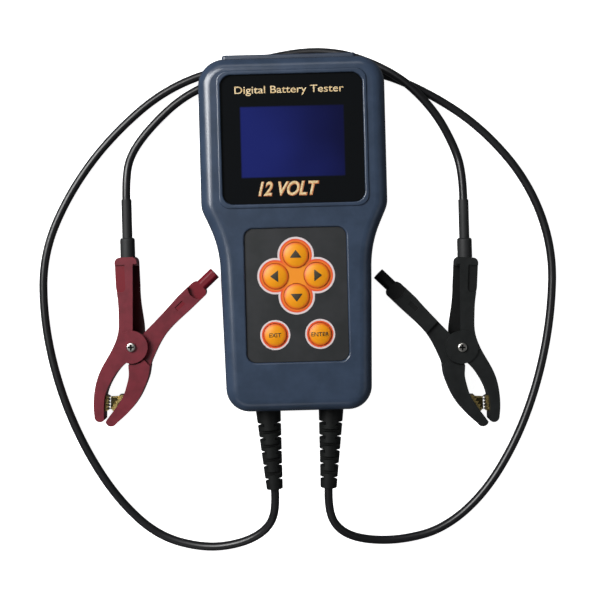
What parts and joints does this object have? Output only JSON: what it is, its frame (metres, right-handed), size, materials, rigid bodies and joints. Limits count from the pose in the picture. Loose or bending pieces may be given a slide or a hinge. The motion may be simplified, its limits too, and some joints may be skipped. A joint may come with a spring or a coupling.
{
  "type": "battery tester",
  "caption": "Handheld battery tester: a flat waisted case with a display window and a rubber keypad, and two long leads from its foot, each to a sprung clamp with toothed jaws.",
  "frame": {"origin": "on the flat back face, on the case's middle line, halfway between its head and its foot without the port cover", "axes": "+Z out of the front face, +Y along the case towards the display end, +X to the right as the display is read"},
  "size_m": [0.2979, 0.2877, 0.0388],
  "materials": {
    "case": "satin slate blue",
    "window": "gloss black",
    "panel": "matt dark grey",
    "key": "orange silicone",
    "red_grip": "satin dark red",
    "black_grip": "satin black",
    "brass": "plated",
    "steel": "nickel plated",
    "rubber": "matt black",
    "board": "green solder mask",
    "light": "translucent blue",
    "lcd": "blue liquid crystal",
    "part": "moulded black",
    "ceramic": "cement white"
  },
  "bodies": {
    "tester": {"front_shell": "case", "rear_shell": "case", "port_cover": "case", "case_screws": "steel", "board_screws": "steel", "display_window": "window", "lcd_board": "board", "lcd_frame": "steel", "lcd_backlight": "light", "lcd_glass": "lcd", "keypad_panel": "panel", "key_switches": "part", "main_board": "board", "controller_chip": "part", "board_header": "part", "load_resistors": "ceramic", "load_relay": "part", "sounder": "part", "lead_terminals": "steel", "inner_wires": "rubber", "strain_relief_left": "rubber", "strain_relief_right": "rubber", "lead_left": "rubber", "lead_right": "rubber", "red_arm": "red_grip", "red_pivot": "steel", "red_spring": "steel", "red_arm_teeth": "brass", "red_sleeve": "rubber", "black_arm": "black_grip", "black_pivot": "steel", "black_spring": "steel", "black_arm_teeth": "brass", "black_sleeve": "rubber"},
    "key_up": {"key_up": "key"},
    "key_down": {"key_down": "key"},
    "key_left": {"key_left": "key"},
    "key_right": {"key_right": "key"},
    "key_exit": {"key_exit": "key"},
    "key_enter": {"key_enter": "key"},
    "red_lever": {"red_lever": "red_grip", "red_lever_teeth": "brass", "red_spring_leg": "steel"},
    "black_lever": {"black_lever": "black_grip", "black_lever_teeth": "brass", "black_spring_leg": "steel"}
  },
  "joints": [
    {"name": "key_up_press", "type": "slide", "parent": "tester", "child": "key_up", "axis": [0, 0, -1], "range_m": [0, 0.0008], "stiffness_N_per_m": 800, "springref_m": -0.0016},
    {"name": "key_down_press", "type": "slide", "parent": "tester", "child": "key_down", "axis": [0, 0, -1], "range_m": [0, 0.0008], "stiffness_N_per_m": 800, "springref_m": -0.0016},
    {"name": "key_left_press", "type": "slide", "parent": "tester", "child": "key_left", "axis": [0, 0, -1], "range_m": [0, 0.0008], "stiffness_N_per_m": 800, "springref_m": -0.0016},
    {"name": "key_right_press", "type": "slide", "parent": "tester", "child": "key_right", "axis": [0, 0, -1], "range_m": [0, 0.0008], "stiffness_N_per_m": 800, "springref_m": -0.0016},
    {"name": "key_exit_press", "type": "slide", "parent": "tester", "child": "key_exit", "axis": [0, 0, -1], "range_m": [0, 0.0008], "stiffness_N_per_m": 800, "springref_m": -0.0016},
    {"name": "key_enter_press", "type": "slide", "parent": "tester", "child": "key_enter", "axis": [0, 0, -1], "range_m": [0, 0.0008], "stiffness_N_per_m": 800, "springref_m": -0.0016},
    {"name": "red_lever_pivot", "type": "hinge", "parent": "tester", "child": "red_lever", "pos_m": [-0.0945, -0.0617, 0.0065], "axis": [0, 0, 1], "range_deg": [0, 24], "stiffness_Nm_per_rad": 0.8, "springref_deg": -34.38},
    {"name": "black_lever_pivot", "type": "hinge", "parent": "tester", "child": "black_lever", "pos_m": [0.093, -0.0666, 0.0065], "axis": [0, 0, -1], "range_deg": [0, 24], "stiffness_Nm_per_rad": 0.8, "springref_deg": -34.38}
  ]
}
